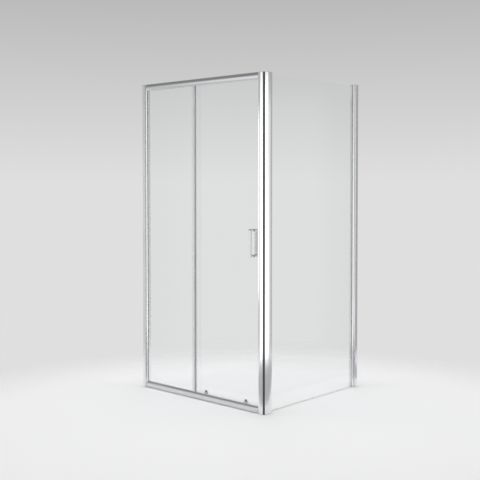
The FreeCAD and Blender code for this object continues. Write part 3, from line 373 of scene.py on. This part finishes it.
milky = add_node(tree, "ShaderNodeMix", {"data_type": "RGBA"}, {
    "Factor": drawn.outputs["Fac"], "A": linear("#dde0e0"), "B": linear("#eceeee")})
hard = add_node(tree, "ShaderNodeMix", {"data_type": "RGBA"}, {
    "Factor": drawn.outputs["Fac"], "A": linear("#aeb2b4"), "B": linear("#bbbfc0")})
colour = add_node(tree, "ShaderNodeMix", {"data_type": "RGBA"}, {
    "Factor": spine.outputs[0], "A": milky.outputs["Result"], "B": hard.outputs["Result"]})
body = add_node(tree, "ShaderNodeMapRange", inputs={
    "Value": spine.outputs[0], "To Min": clear_body, "To Max": hard_body})
rough = add_node(tree, "ShaderNodeMapRange", inputs={
    "Value": drawn.outputs["Fac"], "From Min": noise_low, "From Max": noise_high,
    "To Min": pvc_smoothest, "To Max": pvc_roughest})
pvc = add_node(tree, "ShaderNodeBsdfPrincipled", inputs={
    "Base Color": colour.outputs["Result"], "Roughness": rough.outputs[0], "IOR": 1.53,
    "Alpha": body.outputs[0]})
add_node(tree, "ShaderNodeOutputMaterial", inputs={"Surface": pvc.outputs[0]})
dress(strip, "fixed_edge_strip")

# Groove fillers
# Strips of the same kind of grey ABS as the caps, but extruded, which close the rails' grooves beside the
# fixed pane. They snap in between the fixed pane and the corner upright.
filler_abs = moulded_abs(
    "extruded_grey_abs", darker="#bfc1c3", lighter="#cdcfd0", smoothest=0.25, roughest=0.36)
dress(filler_abs, "groove_filler_top", "groove_filler_bottom")

# Door stops
# Blocks of black rubber, cut from an extrusion like the corner strip's. They are pushed onto the top rail's
# rib, where the door's wheels meet them at both ends of the run.
dress(extruded_rubber("extruded_black_rubber_stop", along="X"), "door_stop_open", "door_stop_closed")

# Handles
# A pair of cast handles, polished and chrome plated, set back to back through the door and held by two studs
# with soft washers at the glass. Chrome is a clear, slightly dark mirror, here with faint smears from hands.
smear_width, smear_length = 0.012, 0.03
smear_start, smear_full = 0.45, 0.75
smoothest, roughest = 0.04, 0.13
chrome = new_material("polished_chrome_plate")
tree = chrome.node_tree
place = add_node(tree, "ShaderNodeTexCoord").outputs["Object"]
wiped = add_node(tree, "ShaderNodeMapping", inputs={
    "Vector": place, "Scale": (1 / smear_width, 1 / smear_width, 1 / smear_length)})
smears = add_node(tree, "ShaderNodeTexNoise", inputs={
    "Vector": wiped.outputs[0], "Scale": 1.0, "Detail": 4.0, "Distortion": 0.4})
rough = add_node(tree, "ShaderNodeMapRange", inputs={
    "Value": smears.outputs["Fac"], "From Min": smear_start, "From Max": smear_full,
    "To Min": smoothest, "To Max": roughest})
colour = add_node(tree, "ShaderNodeMix", {"data_type": "RGBA"}, {
    "Factor": smears.outputs["Fac"], "A": linear("#dbdbdb"), "B": linear("#e5e5e5")})
plate = add_node(tree, "ShaderNodeBsdfPrincipled", inputs={
    "Base Color": colour.outputs["Result"], "Metallic": 1.0, "Roughness": rough.outputs[0]})
add_node(tree, "ShaderNodeOutputMaterial", inputs={"Surface": plate.outputs[0]})
dress(chrome, "handle_outer", "handle_inner")
dress(stainless, "handle_studs")
dress(white_acetal, "handle_washers")

# Top rollers
# Grooved acetal wheels that run on the top rail's rib. Each turns on a stainless axle that passes through an
# acetal bush in the glass and takes a chromed cap nut on the inside.
dress(white_acetal, "top_wheel_left", "top_wheel_right", "top_bush_left", "top_bush_right")
dress(stainless, "top_axle_left", "top_axle_right")
dress(chrome, "top_nut_left", "top_nut_right")

# Bottom guides
# A white acetal housing screwed to the glass, with a sprung slider of dark ABS in it that carries the guide
# wheel. Pressing the slider's button down takes the wheel off the bottom rail's rib.
dark_abs = moulded_abs(
    "moulded_dark_abs", darker="#3a3b3d", lighter="#4b4c4e", smoothest=0.35, roughest=0.5)
dress(dark_abs, "release_button_left", "release_button_right")
dress(white_acetal, "guide_housing_left", "guide_housing_right", "guide_wheel_left", "guide_wheel_right")
dress(stainless, "guide_axle_left", "guide_axle_right")


# Release springs
# Compression springs wound from stainless wire, with a closed coil at each end. Each stands in its housing's
# pocket under the button and rides with the door. The real spring shortens as its button goes down; this one
# keeps its length.
def new_object(name, shape, material):
    """Makes an object of a finished shape, in one material."""
    mesh = bpy.data.meshes.new(name)
    shape.to_mesh(mesh)
    shape.free()
    mesh.materials.append(material)
    made = bpy.data.objects.new(name, mesh)
    bpy.context.collection.objects.link(made)
    return made


wire_radius, wire_sides, turn_steps, open_turns = 0.0003, 10, 20, 4
closed_rise = 2.1 * wire_radius  # A closed turn rises by just over the wire's thickness.
for side in ("left", "right"):
    low, high = (Vector(corner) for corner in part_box(f"release_spring_{side}"))
    middle = (low + high) / 2
    coil_radius = (high.x - low.x) / 2 - wire_radius
    open_rise = high.z - low.z - 2 * wire_radius - 2 * closed_rise
    shape = bmesh.new()
    wire_end = Matrix.Translation((middle.x + coil_radius, middle.y, low.z + wire_radius))
    wire_end = wire_end @ Matrix.Rotation(math.pi / 2, 4, "X")
    bmesh.ops.create_circle(shape, segments=wire_sides, radius=wire_radius, matrix=wire_end)
    last = shape.edges[:]
    for turns, rise in ((1, closed_rise), (open_turns, open_rise), (1, closed_rise)):
        steps = turns * turn_steps
        wound = bmesh.ops.spin(
            shape, geom=last, cent=middle, axis=(0, 0, 1), dvec=(0, 0, rise / steps),
            angle=turns * 2 * math.pi, steps=steps)
        last = [part for part in wound["geom_last"] if isinstance(part, bmesh.types.BMEdge)]
    bmesh.ops.holes_fill(shape, edges=shape.edges[:])
    bmesh.ops.recalc_face_normals(shape, faces=shape.faces[:])
    for face in shape.faces:
        face.smooth = True
    spring = new_object(f"wound_spring_{side}", shape, stainless)
    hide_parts(f"release_spring_{side}")
    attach(spring, "door")
    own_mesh(spring)

# Guide screws
# Four stainless button-head screws with a hexagon socket. They go through the door from the inside into the
# two guide housings.
screw_radius, point_radius, point_length = 0.0015, 0.0009, 0.001
head_radius, head_height, rim_height = 0.0032, 0.0022, 0.0005
shoulder_radius, shoulder_height, crown_radius = 0.002816, 0.00154, 0.0018
socket_radius, socket_depth, spread = 0.00115, 0.0012, 0.014
round_steps, merge_gap = 24, 0.000001
low, high = (Vector(corner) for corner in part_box("guide_screws"))
seat = high.y - head_height
height = (low.z + high.z) / 2
first_place, last_place = low.x + head_radius, high.x - head_radius
shape = bmesh.new()
for across in (first_place, first_place + spread, last_place - spread, last_place):
    made = [shape.verts.new((across + radius, along, height)) for radius, along in (
        (0, low.y), (point_radius, low.y), (screw_radius, low.y + point_length), (screw_radius, seat),
        (head_radius, seat), (head_radius, seat + rim_height), (shoulder_radius, seat + shoulder_height),
        (crown_radius, high.y))]
    outline = [shape.edges.new(pair) for pair in zip(made, made[1:])]
    bmesh.ops.spin(
        shape, geom=made + outline, cent=(across, 0, height), axis=(0, 1, 0), angle=2 * math.pi,
        steps=round_steps, use_merge=True)
    crown = [edge for edge in shape.edges
             if edge.is_boundary and abs(edge.verts[0].co.x - across) < head_radius]
    turn = Matrix.Translation((across, high.y, height)) @ Matrix.Rotation(math.pi / 2, 4, "X")
    socket = bmesh.ops.create_circle(shape, segments=6, radius=socket_radius, matrix=turn)["verts"]
    mouth = list({edge for corner in socket for edge in corner.link_edges})
    bmesh.ops.bridge_loops(shape, edges=crown + mouth)
    sunk = bmesh.ops.extrude_edge_only(shape, edges=mouth)["geom"]
    floor_corners = [part for part in sunk if isinstance(part, bmesh.types.BMVert)]
    bmesh.ops.translate(shape, verts=floor_corners, vec=(0, -socket_depth, 0))
    bmesh.ops.holes_fill(shape, edges=[part for part in sunk if isinstance(part, bmesh.types.BMEdge)])
bmesh.ops.remove_doubles(shape, verts=shape.verts[:], dist=merge_gap)
bmesh.ops.recalc_face_normals(shape, faces=shape.faces[:])
screws = new_object("socket_screws", shape, stainless)
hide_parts("guide_screws")
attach(screws, "door")

# Floor
# A plain pale floor, just under the object, that keeps the object's shadow near it. Further out it fades
# into the light of the room behind.
floor_radius, rim_steps, drop = 14.0, 96, 0.0005
fade_middle, fade_start, fade_end = (0.9, -0.9, 0), 1.7, 2.6
pale = new_material("pale_floor")
tree = pale.node_tree
place = add_node(tree, "ShaderNodeTexCoord").outputs["Object"]
far = add_node(tree, "ShaderNodeVectorMath", {"operation": "DISTANCE"}, {0: place, 1: fade_middle})
fade = add_node(tree, "ShaderNodeMapRange", {"interpolation_type": "SMOOTHSTEP"}, {
    "Value": far.outputs["Value"], "From Min": fade_start, "From Max": fade_end})
lit = add_node(tree, "ShaderNodeBsdfDiffuse", inputs={"Color": linear("#f2f2f2")})
clear = add_node(tree, "ShaderNodeBsdfTransparent")
blend = add_node(tree, "ShaderNodeMixShader", inputs={
    0: fade.outputs[0], 1: lit.outputs[0], 2: clear.outputs[0]})
add_node(tree, "ShaderNodeOutputMaterial", inputs={"Surface": blend.outputs[0]})
shape = bmesh.new()
bmesh.ops.create_circle(shape, cap_ends=True, segments=rim_steps, radius=floor_radius)
floor = new_object("floor", shape, pale)
floor.location.z = -drop


# Grey card
# A grey card laid round the object, soft at its borders, so that the polished profiles darken towards the
# floor. Only their reflections show it.
def only_mirrored(board):
    """Hides a board from everything but reflections."""
    board.visible_camera = False
    board.visible_diffuse = False
    board.visible_transmission = False
    board.visible_shadow = False


card_half = 2.6
near_start, near_full = 0.12, 0.32
far_start, far_end = 1.35, 1.6
left_start, left_full = -0.5, -0.3
grey = new_material("grey_card")
tree = grey.node_tree
place = add_node(tree, "ShaderNodeTexCoord").outputs["Object"]
off_middle = add_node(tree, "ShaderNodeVectorMath", {"operation": "ABSOLUTE"}, {0: place})
outside = add_node(tree, "ShaderNodeVectorMath", {"operation": "SUBTRACT"}, {
    0: off_middle.outputs["Vector"], 1: cad_box[1]})
sides = add_node(tree, "ShaderNodeSeparateXYZ", inputs={0: outside.outputs["Vector"]})
clear_by = add_node(tree, "ShaderNodeMath", {"operation": "MAXIMUM"}, {
    0: sides.outputs["X"], 1: sides.outputs["Y"]})
near = add_node(tree, "ShaderNodeMapRange", {"interpolation_type": "SMOOTHSTEP"}, {
    "Value": clear_by.outputs[0], "From Min": near_start, "From Max": near_full})
corner = (cad_box[1].x, cad_box[0].y, 0)
from_corner = add_node(tree, "ShaderNodeVectorMath", {"operation": "DISTANCE"}, {0: place, 1: corner})
far = add_node(tree, "ShaderNodeMapRange", {"interpolation_type": "SMOOTHSTEP"}, {
    "Value": from_corner.outputs["Value"], "From Min": far_start, "From Max": far_end,
    "To Min": 1.0, "To Max": 0.0})
across = add_node(tree, "ShaderNodeSeparateXYZ", inputs={0: place})
beside = add_node(tree, "ShaderNodeMapRange", {"interpolation_type": "SMOOTHSTEP"}, {
    "Value": across.outputs["X"], "From Min": left_start, "From Max": left_full})
ring = add_node(tree, "ShaderNodeMath", {"operation": "MULTIPLY"}, {0: near.outputs[0], 1: far.outputs[0]})
cover = add_node(tree, "ShaderNodeMath", {"operation": "MULTIPLY"}, {
    0: ring.outputs[0], 1: beside.outputs[0]})
clear = add_node(tree, "ShaderNodeBsdfTransparent")
lit = add_node(tree, "ShaderNodeBsdfDiffuse", inputs={"Color": linear("#b6b6b8")})
blend = add_node(tree, "ShaderNodeMixShader", inputs={
    0: cover.outputs[0], 1: clear.outputs[0], 2: lit.outputs[0]})
add_node(tree, "ShaderNodeOutputMaterial", inputs={"Surface": blend.outputs[0]})
shape = bmesh.new()
bmesh.ops.create_grid(shape, x_segments=1, y_segments=1, size=card_half)
card = new_object("grey_card", shape, grey)
only_mirrored(card)

# White cards
# White boards, one of them dim, that stand or lean round the object. They are lit from within and soft
# towards their sides and tops. Only reflections show them, as stretches of light on the polished profiles.
soft_edge = 0.25
for name, foot, head, aim, width, brightness in (
    ("left_card", (-4.3, -1.7, 0.0), (-4.3, -1.7, 2.2), (0.5, -0.4), 3.0, 1.5),
    ("front_card", (0.119, -1.799, 0.0), (-0.105, -2.62, 2.3), (0.5, -0.4), 1.5, 1.6),
    ("side_card", (1.851, 0.127, 0.0), (2.643, 0.436, 2.3), (0.5, -0.4), 1.5, 1.6),
    ("side_fill", (1.85, 1.33, 0.0), (1.85, 1.33, 2.1), (0.5, -0.4), 1.0, 0.83),
    ("side_shade", (1.19, 1.44, 0.0), (1.19, 1.44, 2.4), (0.5, 0.45), 0.55, 0.4),
):
    foot, head = Vector(foot), Vector(head)
    sideways = Vector((aim[1] - foot.y, foot.x - aim[0], 0)).normalized()
    half = sideways * width / 2
    white = new_material(name)
    tree = white.node_tree
    place = add_node(tree, "ShaderNodeTexCoord").outputs["Object"]
    from_foot = add_node(tree, "ShaderNodeVectorMath", {"operation": "SUBTRACT"}, {0: place, 1: foot})
    along = add_node(tree, "ShaderNodeVectorMath", {"operation": "DOT_PRODUCT"}, {
        0: from_foot.outputs["Vector"], 1: sideways})
    off_middle = add_node(tree, "ShaderNodeMath", {"operation": "ABSOLUTE"}, {0: along.outputs["Value"]})
    inside = add_node(tree, "ShaderNodeMapRange", {"interpolation_type": "SMOOTHSTEP"}, {
        "Value": off_middle.outputs[0], "From Min": width / 2 - soft_edge, "From Max": width / 2,
        "To Min": 1.0, "To Max": 0.0})
    up = add_node(tree, "ShaderNodeSeparateXYZ", inputs={0: place})
    under = add_node(tree, "ShaderNodeMapRange", {"interpolation_type": "SMOOTHSTEP"}, {
        "Value": up.outputs["Z"], "From Min": head.z - soft_edge, "From Max": head.z,
        "To Min": 1.0, "To Max": 0.0})
    full = add_node(tree, "ShaderNodeMath", {"operation": "MULTIPLY"}, {
        0: inside.outputs[0], 1: under.outputs[0]})
    glow = add_node(tree, "ShaderNodeEmission", inputs={"Strength": brightness})
    clear = add_node(tree, "ShaderNodeBsdfTransparent")
    blend = add_node(tree, "ShaderNodeMixShader", inputs={
        0: full.outputs[0], 1: clear.outputs[0], 2: glow.outputs[0]})
    add_node(tree, "ShaderNodeOutputMaterial", inputs={"Surface": blend.outputs[0]})
    shape = bmesh.new()
    shape.faces.new([shape.verts.new(corner) for corner in (
        foot - half, foot + half, head + half, head - half)])
    board = new_object(name, shape, white)
    only_mirrored(board)

# Light
# A pale room that darkens with height and is a little lighter again at the ceiling, and one large soft lamp
# above the object, which no reflection shows.
world = bpy.data.worlds.new("studio")
bpy.context.scene.world = world
world.use_nodes = True
tree = world.node_tree
tree.nodes.clear()
ray = add_node(tree, "ShaderNodeTexCoord").outputs["Generated"]
parts = add_node(tree, "ShaderNodeSeparateXYZ", inputs={0: ray})
rise = add_node(tree, "ShaderNodeValToRGB", inputs={"Fac": parts.outputs["Z"]})
stops = rise.color_ramp.elements
stops[0].position, stops[0].color = 0.0, linear("#dfdfdf")
stops[1].position, stops[1].color = 0.65, linear("#a6a6a8")
stops.new(0.2).color = linear("#bbbbbb")
stops.new(0.36).color = linear("#9c9c9e")
# The metal mirrors a bright stretch of wall to the left of the camera. Seen straight or through the glass,
# the room is equally bright on every side.
bright_turn, bright_half, bright_blur = math.radians(-129.5), math.radians(4.5), math.radians(4)
bright_gain, bright_top, bright_end = 0.5, 0.1, 0.25
lit_strength, seen_strength = 0.8, 1.0
bright_side = (math.cos(bright_turn), math.sin(bright_turn), 0)
flat = add_node(tree, "ShaderNodeVectorMath", {"operation": "MULTIPLY"}, {0: ray, 1: (1, 1, 0)})
heading = add_node(tree, "ShaderNodeVectorMath", {"operation": "NORMALIZE"}, {0: flat.outputs["Vector"]})
to_bright = add_node(tree, "ShaderNodeVectorMath", {"operation": "DOT_PRODUCT"}, {
    0: heading.outputs["Vector"], 1: bright_side})
bright = add_node(tree, "ShaderNodeMapRange", {"interpolation_type": "SMOOTHSTEP"}, {
    "Value": to_bright.outputs["Value"], "From Min": math.cos(bright_half + bright_blur),
    "From Max": math.cos(bright_half), "To Max": bright_gain})
under = add_node(tree, "ShaderNodeMapRange", {"interpolation_type": "SMOOTHSTEP"}, {
    "Value": parts.outputs["Z"], "From Min": bright_top, "From Max": bright_end,
    "To Min": 1.0, "To Max": 0.0})
wall = add_node(tree, "ShaderNodeMath", {"operation": "MULTIPLY"}, {
    0: bright.outputs[0], 1: under.outputs[0]})
path = add_node(tree, "ShaderNodeLightPath")
mirrored = add_node(tree, "ShaderNodeMath", {"operation": "MULTIPLY_ADD"}, {
    0: wall.outputs[0], 1: path.outputs["Is Glossy Ray"], 2: lit_strength})
seen = add_node(tree, "ShaderNodeMath", {"operation": "MAXIMUM"}, {
    0: path.outputs["Is Camera Ray"], 1: path.outputs["Is Transmission Ray"]})
level = add_node(tree, "ShaderNodeMix", inputs={
    "Factor": seen.outputs[0], "A": mirrored.outputs[0], "B": seen_strength})
back = add_node(tree, "ShaderNodeBackground", inputs={
    "Color": rise.outputs["Color"], "Strength": level.outputs[0]})
add_node(tree, "ShaderNodeOutputWorld", inputs={"Surface": back.outputs[0]})
lamp = bpy.data.lights.new("overhead", "AREA")
lamp.shape = "RECTANGLE"
lamp.size, lamp.size_y = 4.6, 4.6
lamp.energy = 258
light = bpy.data.objects.new("overhead", lamp)
light.location = (0.1, -0.2, 5.4)
light.visible_camera = False
light.visible_transmission = False
light.visible_glossy = False
bpy.context.collection.objects.link(light)

# Camera
# A camera in front of the corner, at the photograph's viewing angle. It is tilted slightly down, and its
# lens is shifted as the photograph's framing needs, so that upright edges stay nearly plumb.
lens_pixels, frame_pixels, middle_pixel = 861.1, 480, 211.3
viewer_turn, viewer_tilt = math.radians(42.4), math.radians(1.953)
camera = bpy.data.cameras.new("camera")
camera.sensor_width = 36
camera.lens = lens_pixels * camera.sensor_width / frame_pixels
camera.shift_y = (middle_pixel - frame_pixels / 2) / frame_pixels
camera.clip_end = 100
viewer = bpy.data.objects.new("camera", camera)
viewer.location = (3.597, -4.038, 1.294)
viewer.rotation_euler = (math.pi / 2 - viewer_tilt, 0, viewer_turn)
bpy.context.collection.objects.link(viewer)
bpy.context.scene.camera = viewer
bpy.context.scene.view_settings.view_transform = "Standard"
